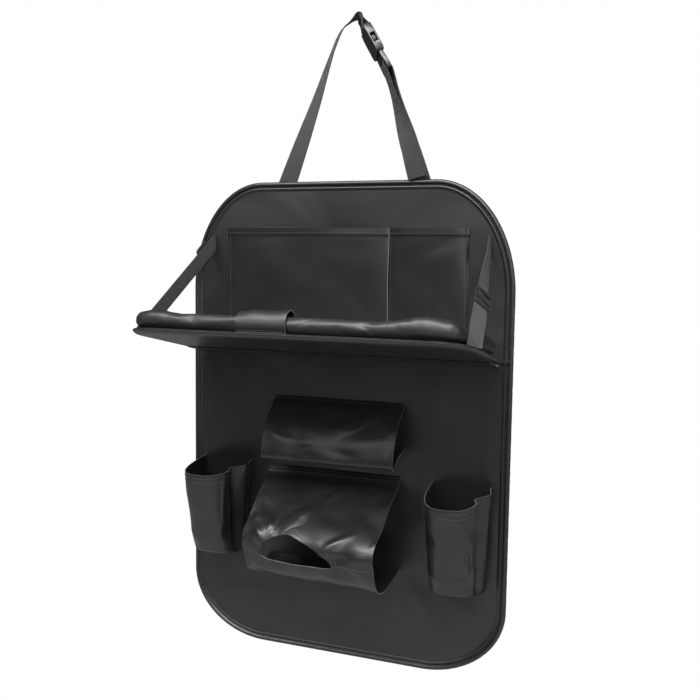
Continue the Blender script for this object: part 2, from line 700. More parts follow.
def smooth_profile(points, count):
    """A smooth curve through points, at even steps of its length."""
    points = np.asarray(points, float)
    last = len(points) - 1
    at = np.linspace(0, last, last * 24 + 1)
    index = np.minimum(at.astype(int), last - 1)
    share = (at - index)[:, None]
    p0, p1 = points[np.maximum(index - 1, 0)], points[index]
    p2, p3 = points[index + 1], points[np.minimum(index + 2, last)]
    v0, v1 = (p2 - p0) / 2, (p3 - p1) / 2
    return even_steps(hermite(p1, p2, v0, v1, share), count)


def even_steps(points, count):
    """Points at even steps of length along a line of points. count may be a list of shares."""
    points = np.asarray(points, float)
    run = np.concatenate([[0], np.cumsum(np.linalg.norm(np.diff(points, axis=0), axis=1))])
    wanted = run[-1] * (np.linspace(0, 1, count) if np.isscalar(count) else np.asarray(count))
    return np.stack([np.interp(wanted, run, points[:, k]) for k in range(points.shape[1])], axis=-1)


umbrella_profile = smooth_profile(np.array([
    (0, 0), (0.36, 0.2), (0.72, 0.46), (0.93, 0.72), (1, 0.95), (0.9, 1.01), (0.55, 0.86), (0.25, 0.8),
    (0, 0.76),
]) * (umbrella_depth, umbrella_drop), 81)


def umbrella_surface(x, v, proud=0.0):
    """Middle surface: x along the sleeve, v from 0 at the top seam to 1 at the bottom seam."""
    run = np.linspace(0, 1, len(umbrella_profile))
    depth = np.interp(v, run, umbrella_profile[:, 0])
    drop = np.interp(v, run, umbrella_profile[:, 1])
    slope = np.stack([np.interp(v, run, np.gradient(umbrella_profile[:, k], run)) for k in (0, 1)])
    slope = slope / np.maximum(np.linalg.norm(slope, axis=0), 1e-9)
    held = np.sin(np.pi * np.clip(v, 0, 1)) ** 0.5
    arc = v * 150
    folds = creases(x, arc, [
        (-92, 62, -40, 74, 7, 1.2), (-30, 20, 20, 40, 10, -1.4), (20, 70, 78, 60, 9, 1.3),
        (-70, 30, -55, 80, 9, -1.2), (50, 20, 80, 50, 8, 1.2), (-10, 78, 40, 86, 6, -1.0),
        (-88, 20, -60, 14, 7, 1.1), (76, 84, 84, 60, 7, -1.2),
    ])
    push = proud + held * (folds + waviness(x, arc, 5, 60, 0.9))
    return np.stack([
        np.broadcast_to(x, push.shape), sheet_y - np.maximum(depth + push * slope[1], 0.0),
        umbrella_top - drop + push * slope[0],
    ], axis=-1)


x, v = grid(graded(*umbrella_x, 76), graded(0, 1, 68, 0.3))
middle = umbrella_surface(x, v)
umbrella_sleeve = thick_sheet(
    "umbrella_sleeve_band", middle, skin, raw=("left", "right", "start"), material=leatherette_creased,
)
settle(umbrella_sleeve, "umbrella_sleeve")
along_x = np.linspace(umbrella_x[0] + 3, umbrella_x[1] - 3, 120)
sew("umbrella_sleeve_stitches", [
    umbrella_surface(along_x, np.full(120, share), 0.6) for share in (0.03, 0.97)
])

# Tissue sleeve: two leatherette flaps that meet in front, sewn to the panel at top and bottom.
# The upper one has a folded hem along its top seam and an arched opening with a double row of
# stitches; its corner tabs overlap the lower flap. The leatherette crumples at the arch's ends.

tissue_x, tissue_top, tissue_depth, tissue_drop = (-103, 81), -63, 100, 132
slot_centre, slot_foot, slot_half, slot_rise, slot_dip, slot_crown = -25.5, -161, 51.5, 30, 7, -0.2
tissue_meet, tissue_overlap, tissue_lap = 0.548, 0.03, 1.9
tissue_profile = smooth_profile([
    (0, 0), (0.1, 0.08), (0.27, 0.16), (0.61, 0.34), (0.88, 0.48), (0.99, 0.57), (1, 0.66), (0.95, 0.8),
    (0.86, 0.92), (0.71, 0.99), (0.56, 1.01), (0.36, 0.99), (0.16, 0.965), (0, 0.93),
], 241)
tissue_run = np.linspace(0, 1, len(tissue_profile))
tissue_arc = 255


def tissue_surface(x, s, lap=0.0, proud=0.0):
    """Middle surface: s runs down the sleeve from 0 at its top seam to 1 at its bottom seam."""
    share = (x - tissue_x[0]) / (tissue_x[1] - tissue_x[0])
    depth = tissue_depth * (0.8 + 0.2 * share) - lap
    out = np.maximum(np.interp(s, tissue_run, tissue_profile[:, 0]), 0)
    drop = np.interp(s, tissue_run, tissue_profile[:, 1])
    slope = np.stack([
        np.interp(s, tissue_run, np.gradient(tissue_profile[:, 0])) * depth,
        np.interp(s, tissue_run, np.gradient(tissue_profile[:, 1])) * (tissue_drop - lap),
    ])
    slope = slope / np.maximum(np.linalg.norm(slope, axis=0), 1e-9)
    held = np.clip(np.sin(np.pi * np.clip(s, 0, 1)), 0, 1) ** 0.6
    arc = s * tissue_arc
    folds = creases(x, arc, [
        (-88, 106, -66, 132, 4.5, 2.0), (-94, 118, -74, 136, 3.5, -1.8), (-70, 88, -62, 116, 5, 1.6),
        (-58, 92, -66, 124, 3.5, -1.3), (-98, 96, -84, 92, 6, 1.2), (10, 128, 34, 108, 4.5, 1.8),
        (14, 134, 46, 126, 4, -1.7), (20, 118, 52, 96, 5, 1.3), (28, 136, 60, 138, 3.5, 1.2),
        (-20, 70, 40, 84, 12, -1.3), (-60, 62, -10, 76, 12, 1.4), (44, 70, 72, 100, 9, 1.3),
        (-96, 60, -70, 84, 9, -1.3), (-10, 150, 40, 156, 6, 1.0), (52, 150, 74, 168, 6, -1.1),
        (-92, 152, -70, 166, 6, 1.1), (-40, 190, 30, 196, 10, 1.0),
    ])
    push = proud + held * (folds + waviness(x, arc, 8, 52, 1.0) * smooth_step(arc, 20, 60))
    away = np.maximum(out * depth + push * slope[1], 0.0)
    return np.stack([
        np.broadcast_to(x, push.shape), sheet_y - away,
        tissue_top - drop * (tissue_drop - lap) + push * slope[0],
    ], axis=-1)


def height_share(z, lap=0.0):
    """The share down the sleeve's front at a height."""
    front = slice(60, 190)
    drop = (tissue_top - np.asarray(z, float)) / (tissue_drop - lap)
    return np.interp(drop, tissue_profile[front, 1], tissue_run[front])


def slot_edge(x, rise):
    """How far the arch, or the dip, departs from the flaps' meeting line at x. Steep at the left."""
    away = np.clip((x - slot_centre) / slot_half, -1, 1)
    share = (away - slot_crown) / np.where(away < slot_crown, 1 + slot_crown, 1 - slot_crown)
    round_arch = np.sqrt(np.clip(1 - share**2, 0, 1))
    sloped = np.clip(1 - share, 0, 1) ** 0.8
    return rise * np.where(away < slot_crown, round_arch, 0.45 * round_arch + 0.55 * sloped)


slot_left, slot_right = slot_centre - slot_half, slot_centre + slot_half
tissue_columns = np.concatenate([
    np.linspace(tissue_x[0], slot_left, 12)[:-1], graded(slot_left, slot_right, 48, 1.0)[:-1],
    np.linspace(slot_right, tissue_x[1], 22),
])
in_slot = np.abs(tissue_columns - slot_centre) < slot_half


def tissue_flap(name, node, x, s, lap=0.0, hem=0.0):
    """One flap over a grid of x and of shares down the sleeve."""
    middle = tissue_surface(x, s, lap)
    flap = thick_sheet(
        name, middle, skin + 0.6 * hem, raw=("right", "left", "start"), material=leatherette_creased,
    )
    settle(flap, node)


arch = height_share(slot_foot + slot_edge(tissue_columns, slot_rise))
upper_end = np.minimum(np.where(in_slot, arch, tissue_meet), tissue_meet)
x, v = grid(tissue_columns, graded(0, 1, 84, 0.2))
s = v * upper_end[None, :]
tissue_flap("tissue_upper_flap", "tissue_sleeve_upper", x, s, hem=1 - smooth_step(s * tissue_arc, 8, 10))

dip = height_share(slot_foot - slot_edge(tissue_columns, slot_dip), tissue_lap)
lower_start = np.where(in_slot, dip, tissue_meet - tissue_overlap)
lower_start = np.maximum(lower_start, tissue_meet - tissue_overlap)
x, v = grid(tissue_columns, graded(0, 1, 62, 0.2))
s = lower_start[None, :] + v * (1 - lower_start[None, :])
tissue_flap("tissue_lower_flap", "tissue_sleeve_lower", x, s, lap=tissue_lap)

arch_turn = np.linspace(np.pi, 0, 90)


def arch_seam(outset):
    """A row of stitches round the arch, at a distance outside its edge."""
    xs = slot_centre + (slot_half + outset) * np.cos(arch_turn)
    inside = slot_centre + (xs - slot_centre) * slot_half / (slot_half + outset)
    heights = slot_foot + outset * 0.6 + slot_edge(inside, slot_rise + 0.8 * outset)
    return tissue_surface(xs, height_share(heights), 0.0, 0.62)


hem_row = np.linspace(tissue_x[0] + 3, tissue_x[1] - 3, 130)
tab_rows = [np.linspace(34, 76, 36), np.linspace(tissue_x[0] + 3, slot_left - 8, 20)]
sew("tissue_sleeve_stitches", [
    arch_seam(2.6), arch_seam(6.2),
    *(tissue_surface(hem_row, np.full(130, down / tissue_arc), 0.0, 0.95) for down in (2.5, 7.0)),
    tissue_surface(hem_row, np.full(130, 0.985), tissue_lap, 0.6),
    *(tissue_surface(row, np.full(len(row), tissue_meet - 0.012), 0.0, 0.62) for row in tab_rows),
])

# Drink pockets: two pleated leatherette pouches, a short one for a can and a taller one for a
# bottle. Each is one sheet sewn to the panel at both sides and along its floor, with a gusset
# pleat on its right side, a pale raw top edge and slack folds low down.


def pocket_surface(u, v, size, folds, seed, proud=0.0):
    """Middle surface: u runs round from the left seam to the right one, v from top to floor."""
    centre, half, depth, top, bottom, dip = size
    wall = 0.74
    turn = np.pi * u
    down = np.clip(v / wall, 0, 1)
    closing = np.clip((v - wall) / (1 - wall), 0, 1)
    taper = 1 - 0.14 * down
    reach = depth * (1 - 0.3 * down**1.5) * np.sqrt(1 - closing**2)
    front = np.clip(np.sin(turn), 0, 1) ** 0.8
    side = np.sign(np.cos(turn)) * np.abs(np.cos(turn)) ** 0.62
    drop = down * (top - bottom - 0.13 * depth) + closing * 0.13 * depth
    around, below = u * 200, drop
    held = np.clip(np.sin(np.pi * np.clip(u, 0, 1)), 0, 1) ** 0.5 * np.clip((1 - v) * 9, 0, 1)
    waves = waviness(around, below, seed, 46, 0.8) * smooth_step(below, 4, 40)
    push = proud + held * (creases(around, below, folds) + waves)
    # The gusset pleat: the sheet turns in beside the pouch and out again to its seam.
    pleat = np.exp(-((u - 0.86) / 0.045) ** 2) - 0.6 * np.exp(-((u - 0.94) / 0.03) ** 2)
    inward = -9.0 * pleat * (1 - 0.65 * down) * (1 - closing)
    normal_x, normal_y = -np.cos(turn), np.sin(turn)
    return np.stack([
        centre - half * taper * side + push * normal_x + inward * 0.9,
        sheet_y - np.maximum(reach * front + push * normal_y, 0.0),
        top - drop - dip * front * (1 - down) + 0 * u,
    ], axis=-1)


# Each size is the centre, half width, depth, top, bottom and the dip of the top edge.
can_pocket_size = (-168, 36, 81, -60, -184, 8)
bottle_pocket_size = (161, 37, 77, -64, -196, 14)
can_folds = [
    (150, 0, 142, 70, 4, 2.2), (160, 0, 150, 96, 5, -1.8), (60, 80, 100, 104, 9, 1.6),
    (96, 60, 130, 100, 8, -1.4), (40, 30, 60, 84, 8, 1.0), (120, 96, 150, 70, 6, 1.6),
]
bottle_folds = [
    (120, 92, 150, 58, 5, 2.2), (128, 102, 160, 66, 4.5, -2.0), (104, 104, 138, 100, 6, 2.0),
    (146, 40, 154, 96, 4, 1.8), (50, 96, 96, 108, 8, 1.6), (44, 60, 66, 104, 7, -1.3),
    (156, 10, 150, 60, 4, -1.4), (134, 64, 142, 98, 4, 1.6),
]


def drink_pocket(name, node, size, folds, seed):
    u, v = grid(graded(0, 1, 110, 0.35), graded(0, 1, 84, 0.25))
    middle = pocket_surface(u, v, size, folds, seed)
    pocket = thick_sheet(name, middle, skin, raw=("start",), material=leatherette_creased)
    settle(pocket, node)
    around = np.linspace(0.02, 0.98, 150)
    down = np.linspace(0.03, 0.7, 60)
    rows = [(around, np.full(150, v)) for v in (0.035, 0.075)]
    rows += [(np.full(60, u), down) for u in (0.018, 0.982)]
    sew(name + "_stitches", [pocket_surface(u, v, size, folds, seed, 0.6) for u, v in rows])


drink_pocket("can_pocket_pouch", "can_pocket", can_pocket_size, can_folds, 21)
drink_pocket("bottle_pocket_pouch", "bottle_pocket", bottle_pocket_size, bottle_folds, 22)

# Hanging straps: 25 mm black polypropylene webbing, woven in ribs along its length. The left one
# is sewn round the buckle socket's bar. The right one is doubled through the clip's ladder lock,
# and its free tail hangs behind it.

webbing_ribs, ribs_in, ribs_out = effect_group(
    "webbing_ribs", [("Ribs per metre", 620.0), ("Picks per metre", 900.0)], ["Height", "Tone"]
)
run_place = add_node(webbing_ribs, "ShaderNodeUVMap", uv_map="run")
apart = add_node(webbing_ribs, "ShaderNodeSeparateXYZ")


def ripple(tree, source, rate, shift=None):
    """A sine wave of a socket's value, at a rate and shifted by another socket."""
    turn = add_node(tree, "ShaderNodeMath", operation="MULTIPLY")
    tree.links.new(source, turn.inputs[0])
    tree.links.new(rate, turn.inputs[1])
    angle = add_node(tree, "ShaderNodeMath", {1: 2 * math.pi, 2: 0.0}, operation="MULTIPLY_ADD")
    wire(tree, (turn, 0, angle, 0))
    if shift:
        tree.links.new(shift, angle.inputs[2])
    wave = add_node(tree, "ShaderNodeMath", operation="SINE")
    wire(tree, (angle, 0, wave, 0))
    return wave.outputs[0]


ribs = ripple(webbing_ribs, apart.outputs["X"], ribs_in.outputs["Ribs per metre"])
lean = add_node(webbing_ribs, "ShaderNodeMath", {1: 5200.0}, operation="MULTIPLY")
picks = ripple(webbing_ribs, apart.outputs["Y"], ribs_in.outputs["Picks per metre"], lean.outputs[0])
woven = add_node(webbing_ribs, "ShaderNodeMath", {1: 0.35}, operation="MULTIPLY_ADD")
toned = add_node(webbing_ribs, "ShaderNodeMapRange", {"From Min": -1.3, "From Max": 1.3})
webbing_ribs.links.new(picks, woven.inputs[0])
webbing_ribs.links.new(ribs, woven.inputs[2])
wire(
    webbing_ribs, (run_place, "UV", apart, 0), (apart, "X", lean, 0), (woven, 0, ribs_out, "Height"),
    (woven, 0, toned, "Value"), (toned, "Result", ribs_out, "Tone"),
)
webbing = Finish(
    "ribbed_webbing", (0.003, 0.003, 0.0033), (0.019, 0.019, 0.020), 0.5, 0.75, 0.00035,
    Sheen_Weight=0.12, Sheen_Roughness=0.4,
).effect(webbing_ribs)

webbing_thickness, selvedge_thinning = 1.3, 0.15
hanging_width, tray_webbing_width = 25, 20
strap_lanes, faces_apart = 9, 50


def unit(a):
    a = np.asarray(a, float)
    return a / np.linalg.norm(a, axis=-1, keepdims=True)


def strap_route(points):
    """A smooth route through points that never overshoots, its ends carried on straight."""
    points = np.asarray(points, float)
    ends = np.vstack([[2 * points[0] - points[1]], points, [2 * points[-1] - points[-2]]])
    line = []
    for i in range(len(points) - 1):
        p0, p1, p2, p3 = ends[i:i + 4]
        t0, t1, t2 = (np.linalg.norm(b - a) ** 0.5 for a, b in ((p0, p1), (p1, p2), (p2, p3)))
        v1 = ((p1 - p0) / t0 - (p2 - p0) / (t0 + t1) + (p2 - p1) / t1) * t1
        v2 = ((p2 - p1) / t1 - (p3 - p1) / (t1 + t2) + (p3 - p2) / t2) * t1
        line.append(hermite(p1, p2, v1, v2, np.linspace(0, 1, 32, endpoint=False)[:, None]))
    return np.vstack([*line, points[-1:]])


def webbing_band(name, route, width_way, width, steps):
    """A woven band along a route. width_way gives its width direction at each share of length."""
    shares = np.linspace(0, 1, steps)
    centre = even_steps(route, steps)
    along = unit(np.gradient(centre, axis=0))
    across = np.array([width_way(share) for share in shares])
    across = unit(across - (across * along).sum(axis=1)[:, None] * along)
    through = np.cross(along, across)
    lanes = np.linspace(-1, 1, strap_lanes)
    length = np.concatenate([[0], np.cumsum(np.linalg.norm(np.diff(centre, axis=0), axis=1))])
    thick = webbing_thickness / 2 - selvedge_thinning * np.abs(lanes) ** 6
    outline, widths = [], []
    for order, side in ((lanes, 1), (lanes[::-1], -1)):
        for lane in order:
            rise = side * np.interp(lane, lanes, thick)
            outline.append(centre + across * lane * width / 2 + through * rise)
            widths.append(lane * width / 2 + side * faces_apart)
    rings = np.stack(outline, axis=1)
    size = rings.shape[1]
    faces = tube_faces(steps, size)
    uvs = np.stack(np.broadcast_arrays(widths, length[:, None]), axis=2).reshape(-1, 2)
    band = finish_mesh(name, rings.reshape(-1, 3), faces, [webbing], uvs=uvs, sharp=60)
    face_outwards(band)
    return band


def trim(piece, point, normal):
    """Cuts off what lies beyond a plane and closes the cut."""
    edited = bmesh.new()
    edited.from_mesh(piece.data)
    cut = bmesh.ops.bisect_plane(
        edited, geom=edited.verts[:] + edited.edges[:] + edited.faces[:], dist=1e-6,
        plane_co=Vector(point) * mm, plane_no=Vector(normal), clear_outer=True,
    )
    edges = [part for part in cut["geom_cut"] if isinstance(part, bmesh.types.BMEdge)]
    bmesh.ops.edgeloop_fill(edited, edges=edges)
    edited.to_mesh(piece.data)
    edited.free()


buckle_top, buckle_foot = np.array([27, -17, 494.0]), np.array([59, -17, 439.0])
buckle_length, buckle_twist = 64, -62
buckle_axis = unit(buckle_top - buckle_foot)
buckle_flat = unit(np.cross([0, 1, 0], buckle_axis))
turned = Matrix.Rotation(math.radians(buckle_twist), 3, Vector(buckle_axis))
buckle_across = np.array(turned @ Vector(buckle_flat))
buckle_through = np.cross(buckle_axis, buckle_across)
strap_root = np.array([panel_front_y / 2, panel_half[1] - 3.0])
bar_gap = 0.3


def in_buckle(x, y, z):
    """A point in the buckle's own frame, x across it, y through it and z up its length."""
    return buckle_foot + x * buckle_across + y * buckle_through + z * buckle_axis


def bar_turn(bar_centre, bar_size, side, sense):
    """The half circle of webbing round a bar."""
    radius = bar_size * math.sqrt(0.5) + bar_gap + webbing_thickness / 2
    return [
        in_buckle(0, -side * radius * math.cos(turn), bar_centre + sense * radius * math.sin(turn))
        for turn in np.linspace(0, math.pi, 7)
    ]


def hanging_strap(name, node, foot, points, width_way, steps):
    foot = np.array(foot)
    below = foot - unit(points[0] - foot) * hanging_width / 2
    band = webbing_band(name, strap_route([below, foot, *points]), width_way, hanging_width, steps)
    trim(band, foot, (0, 0, -1))
    settle(band, node)


lip_bar, slot_length, lock_bar, socket_bar = 3.0, 4.6, 3.2, 3.4
left_foot = np.array([-83, *strap_root])
left_turn = np.array([buckle_top[0] - 31, buckle_top[1], buckle_top[2] - 3])
left_crest = np.array([buckle_top[0] - 21, buckle_top[1], buckle_top[2] + 6])
sewn = bar_gap + webbing_thickness / 2
sewn_from = buckle_length + socket_bar + 4
edge_on = np.array([0.57, -0.82, 0])
flat_at_foot = np.array([1.0, 0, 0])


def left_width_way(t):
    twist = min(t / 0.66, 1)
    if t < 0.8:
        return flat_at_foot * (1 - twist) + edge_on * twist
    late = smooth_step(t, 0.8, 0.88)
    return edge_on * (1 - late) + buckle_across * late


hanging_strap("hanging_webbing_left", "hanging_strap_left", left_foot, [
    (left_foot + left_turn) / 2, left_turn, left_crest,
    in_buckle(0, sewn, sewn_from + 6), in_buckle(0, sewn, sewn_from),
    *bar_turn(buckle_length - socket_bar / 2, socket_bar, -1, -1),
    in_buckle(0, -sewn, sewn_from), in_buckle(0, -sewn, sewn_from + 6),
], left_width_way, 360)

right_foot = np.array([99, *strap_root])
clear = 5 / 2 + bar_gap + webbing_thickness / 2
arrive, leave = in_buckle(0, -clear, -2), in_buckle(0, clear, -2)
tail_end = right_foot + (arrive - right_foot) * 0.04 + (-1, -1.7 * clear, 0)


def right_width_way(t):
    twist = smooth_step(t, 0.1, 0.45) * (1 - smooth_step(t, 0.62, 0.98))
    return flat_at_foot * (1 - twist) + buckle_across * twist


hanging_strap("hanging_webbing_right", "hanging_strap_right", right_foot, [
    (right_foot + arrive) / 2, arrive, in_buckle(0, -clear, lip_bar),
    *bar_turn(lip_bar + slot_length + lock_bar / 2, lock_bar, 1, 1),
    in_buckle(0, clear, lip_bar), leave, (leave + tail_end) / 2, tail_end,
], right_width_way, 400)

# The left strap's short end is sewn down beyond the bar with a small box of stitches.
box_rows = [(-8, 71.5), (8, 71.5), (8, 77), (-8, 77), (-8, 71.5), (8, 77)]
box = [in_buckle(x, -sewn - 0.7, z) for x, z in box_rows]
sew("strap_box_stitches", [even_steps(box, 60)], pitch=2.6, length=2.2, radius=0.35)

# Side-release buckle: two black acetal mouldings, with softly rounded edges and a fine matt
# texture. The socket takes the clip's two spring arms, and the clip's ladder locks the webbing.

moulding, moulding_in, moulding_out = effect_group(
    "moulded_texture", [("Scale", 2400.0)], ["Height", "Tone", "Gloss"]
)
place = add_node(moulding, "ShaderNodeTexCoord")
spark = add_node(moulding, "ShaderNodeTexNoise", {"Detail": 3.0})
flow = add_node(moulding, "ShaderNodeTexNoise", {"Scale": 70.0, "Detail": 4.0})
wire(
    moulding, (place, "Object", spark, "Vector"), (moulding_in, "Scale", spark, "Scale"),
    (place, "Object", flow, "Vector"), (spark, "Fac", moulding_out, "Height"),
    (flow, "Fac", moulding_out, "Tone"), (flow, "Fac", moulding_out, "Gloss"),
)
buckle_plastic = Finish(
    "buckle_plastic", (0.010, 0.010, 0.011), (0.020, 0.020, 0.022), 0.28, 0.45, 0.00005,
).effect(moulding, "Gloss")
moulded_corner = math.radians(35)


def rounded_moulding(name, node, body, radius=0.45):
    """A copy of a hard piece with its edges rounded, as they leave the mould."""
    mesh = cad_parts[node].data.copy()
    edited = bmesh.new()
    edited.from_mesh(mesh)
    bmesh.ops.remove_doubles(edited, verts=edited.verts, dist=2e-6)
    bmesh.ops.dissolve_limit(
        edited, angle_limit=math.radians(2), verts=edited.verts, edges=edited.edges,
        use_dissolve_boundaries=False,
    )
    edited.to_mesh(mesh)
    edited.free()
    mesh.materials.clear()
    mesh.materials.append(buckle_plastic)
    mesh.name = name
    piece = bpy.data.objects.new(name, mesh)
    scene.collection.objects.link(piece)
    bevel = piece.modifiers.new("moulded_edges", "BEVEL")
    bevel.width = radius * mm
    bevel.segments = 2
    bevel.limit_method = "ANGLE"
    bevel.angle_limit = moulded_corner
    bevel.harden_normals = False
    piece.data = evaluated_mesh(piece)
    piece.modifiers.clear()
    piece.data.name = name
    piece.data.polygons.foreach_set("use_smooth", [True] * len(piece.data.polygons))
    piece.data.set_sharp_from_angle(angle=moulded_corner)
    if body:
        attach(piece, body)
    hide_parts(node)
    return piece


rounded_moulding("buckle_socket_moulding", "buckle_socket", "root")
rounded_moulding("buckle_clip_moulding", "buckle_clip", "root")

# Tray hinge: a leatherette strip sewn flat on the panel behind the tray, from edge to edge and
# over the binding, then bent out and glued under the tray. It bends as the tray folds up.

hinge_height, tray_tilt = 88, math.radians(11.5)
tray_half, tray_reach, tray_back, tray_corner = 212, 190, 14, 42
tray_floor, tray_lip, cover_bottom, cover_top = -1.8, 1.5, 1.8, 2.8


def on_tray(points):
    """Points of the tray's own plane, x along the hinge and -y away from it, in the object's frame."""
    points = np.asarray(points, float)
    x, y, z = points[..., 0], points[..., 1], points[..., 2]
    return np.stack([
        x, y * math.cos(tray_tilt) + z * math.sin(tray_tilt) + panel_front_y,
        -y * math.sin(tray_tilt) + z * math.cos(tray_tilt) + hinge_height,
    ], axis=-1)


tray_up = Vector((0, math.sin(tray_tilt), math.cos(tray_tilt)))
strip_half, strip_wing, strip_rise, strip_reach, strip_bend = 203, 15.5, 9, 46, 3.2
strip_rows, binding_proud = 56, 1.9
under = tray_floor - skin - gap - skin / 2


def under_tray(reach):
    """A point of the strip glued under the tray: how far it stands off the panel, and its height."""
    return (
        reach * math.cos(tray_tilt) - under * math.sin(tray_tilt) - gap,
        hinge_height + reach * math.sin(tray_tilt) + under * math.cos(tray_tilt),
    )


def fillet(before, corner, after, count):
    """A rounded corner from one point to another."""
    before, corner, after = (np.array(point, float) for point in (before, corner, after))
    share = np.linspace(0, 1, count)[:, None]
    return before * (1 - share) ** 2 + 2 * corner * share * (1 - share) + after * share**2


def over_binding(x):
    """How far the strip's wings rise to pass over the binding."""
    return binding_proud * smooth_step(np.abs(x), 196, 208)


corner_height = under_tray(skin / 2)[1]
strip_profile = even_steps(np.vstack([
    [(skin / 2, corner_height + strip_rise)],
    fillet(
        (skin / 2, corner_height + strip_bend), (skin / 2, corner_height),
        under_tray(strip_bend + skin / 2), 12,
    ),
    [under_tray(strip_reach)],
]), strip_rows)
spread, v = grid(np.linspace(-1, 1, 150), np.arange(strip_rows))
index = v.astype(int)
sewn_part = (strip_profile[index, 1] - corner_height > strip_bend + 1) & (index < 20)
x = spread * (strip_half + strip_wing * sewn_part)
sag = 0.25 * np.abs(np.sin(x / 23)) * np.exp(-((v - 14) / 5) ** 2)
middle = np.stack([
    x, seat_y - strip_profile[index, 0] - sag - over_binding(x), strip_profile[index, 1],
], axis=2)
hinge_strip = thick_sheet("tray_hinge_leatherette", middle, skin, raw=("start", "left", "right"))
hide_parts("tray_hinge_strip")
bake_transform(hinge_strip)
along_x = np.linspace(-strip_half + 3, strip_half - 3, 200)
seam_height = np.full(200, corner_height + strip_rise - 2)
hinge_seam = np.stack([along_x, seat_y - skin - 0.1 - over_binding(along_x), seam_height], axis=1)
sew("hinge_strip_stitches", [hinge_seam])

# Tray: a stiff board between a flat top cover and a shallow pan of leatherette, sewn together
# round their raw edges, which show as a pale line.

dress("tray_board", fibre_board)


def tray_outline(inset):
    """The tray's outline in its own plane, from the hinge's right end round to its left end."""
    half, radius = tray_half - inset, tray_corner - inset
    turn = np.linspace(0, np.pi / 2, 24)
    x = half - radius + radius * np.cos(turn)
    y = tray_reach - inset - radius + radius * np.sin(turn)
    right = np.stack([x, -y], axis=1)
    straight = np.stack([np.full(20, half), -np.linspace(tray_back + inset, y[0], 20)], axis=1)[:-1]
    side = np.vstack([straight, right])
    front = np.stack([np.linspace(x[-1], -x[-1], 40)[1:-1], np.full(38, -y[-1])], axis=1)
    return np.vstack([side, front, side[::-1] * (-1, 1)])


def tray_ring(inset, height):
    outline = tray_outline(inset)
    return on_tray(np.column_stack([outline, np.full(len(outline), height)]))


def tray_shell(name, node, section, raw_bands=()):
    """A closed cover through outlines, each given by its inset and its height."""
    rings = [tray_ring(inset, height) for inset, height in section]
    size = len(rings[0])
    faces = tube_faces(len(rings), size)
    slots = [int(number // size in raw_bands) for number in range(len(faces) - 2)] + [0, 0]
    shell = finish_mesh(name, np.vstack(rings), faces, [leatherette, cut_edge], slots, sharp=45)
    face_outwards(shell)
    settle(shell, node, "tray")


tray_shell("tray_bottom_pan", "tray_bottom_cover", [
    (6, tray_floor), (2.4, 1.1), (1.6, tray_lip), (0.2, tray_lip), (0, 1.35), (0, 0.6), (0.5, 0.0),
    (1.5, -0.9), (2.9, -1.9), (4.4, -2.6), (6.0, -2.8), (8, -2.8), (20, -2.8), (44, -2.8),
], raw_bands=(3,))
tray_shell("tray_top_sheet", "tray_top_cover", [
    (44, cover_bottom), (1.0, cover_bottom), (0.1, 1.9), (0, 2.0), (0, 2.6), (0.2, 2.75),
    (1.0, cover_top), (3.0, 2.72), (5.0, cover_top), (44, cover_top),
])
sew("tray_edge_stitches", [tray_ring(3.0, cover_top + 0.05)], body="tray")
sew("tray_under_stitches", [tray_ring(7.0, -2.85)], body="tray")

# Tray rim: a soft rolled edge of leatherette round a foam core, sewn to the top cover. It swells
# at both front corners, is gathered at the right one and drawn in by the straps and the tab.

rim_radius, rim_front, rim_end_reach, rim_flare = 10.5, tray_reach - 15, 34, 9
rim_half = tray_half - 24
rim_height = cover_top + gap + rim_radius
# The rim's right half, from beside the hinge round the front corner, as (x past rim_half, reach).
rim_side = np.array([
    (rim_flare, rim_end_reach), (rim_flare, 58), (rim_flare - 1, 86), (4, 108), (2, 122), (1, 134),
    (2, 150), (4, 158), (4, 166), (1, rim_front - 2), (-9, rim_front), (-40, rim_front),
])
rim_side[:, 0] += rim_half
rim_path = strap_route(np.vstack([rim_side * (-1, 1), rim_side[::-1]]))
rim_leatherette = black_leatherette("leatherette_over_foam", 0.4, 0.5).effect(grain, "Gloss")
rim_steps, rim_sides = 300, 26
rim_share = np.linspace(0, 1, rim_steps)
rim_line = even_steps(rim_path, rim_steps)
rim_along = unit(np.gradient(rim_line, axis=0))
rim_across = np.stack([rim_along[:, 1], -rim_along[:, 0]], axis=1)


def bump_at(share, centre, spread):
    """A soft swelling of height 1 about a centre."""
    return np.exp(-(((share - centre) / spread) ** 2))


def rim_fullness(share):
    """How full the roll is along its length, gathered in fine puckers at both front corners."""
    right = bump_at(share, 0.742, 0.045) * (0.34 + 0.05 * np.sin(share * 330))
    left = bump_at(share, 0.245, 0.032) * (0.17 + 0.03 * np.sin(share * 250))
    return 1 + bump_at(share, 0.93, 0.1) * 0.2 + right + left


rim_slack = 0.5
grown = rim_radius * (rim_fullness(rim_share) - 1)
end = np.minimum(rim_share, 1 - rim_share) * 72
radius = rim_radius * np.where(end < 1, 0.84 + 0.16 * np.sqrt(np.clip(end, 0, 1)), 1.0) - rim_slack
rim_lines = []
for turn in np.linspace(0, 2 * np.pi, rim_sides, endpoint=False):
    flat = rim_line + rim_across * (np.cos(turn) * (radius + grown * 0.4))[:, None]
    rise = np.sin(turn) * (radius + grown) + grown
    rim_lines.append(np.column_stack([flat[:, 0], -flat[:, 1], rim_height + rise]))
points, faces = np.stack(rim_lines, axis=1).reshape(-1, 3), tube_faces(rim_steps, rim_sides)
tray_rim = finish_mesh("tray_rim_roll", points, faces, [rim_leatherette], sharp=60)
face_outwards(tray_rim)


def coordinates(mesh):
    flat = np.empty(len(mesh.vertices) * 3)
    mesh.vertices.foreach_get("co", flat)
    return flat.reshape(-1, 3) / mm


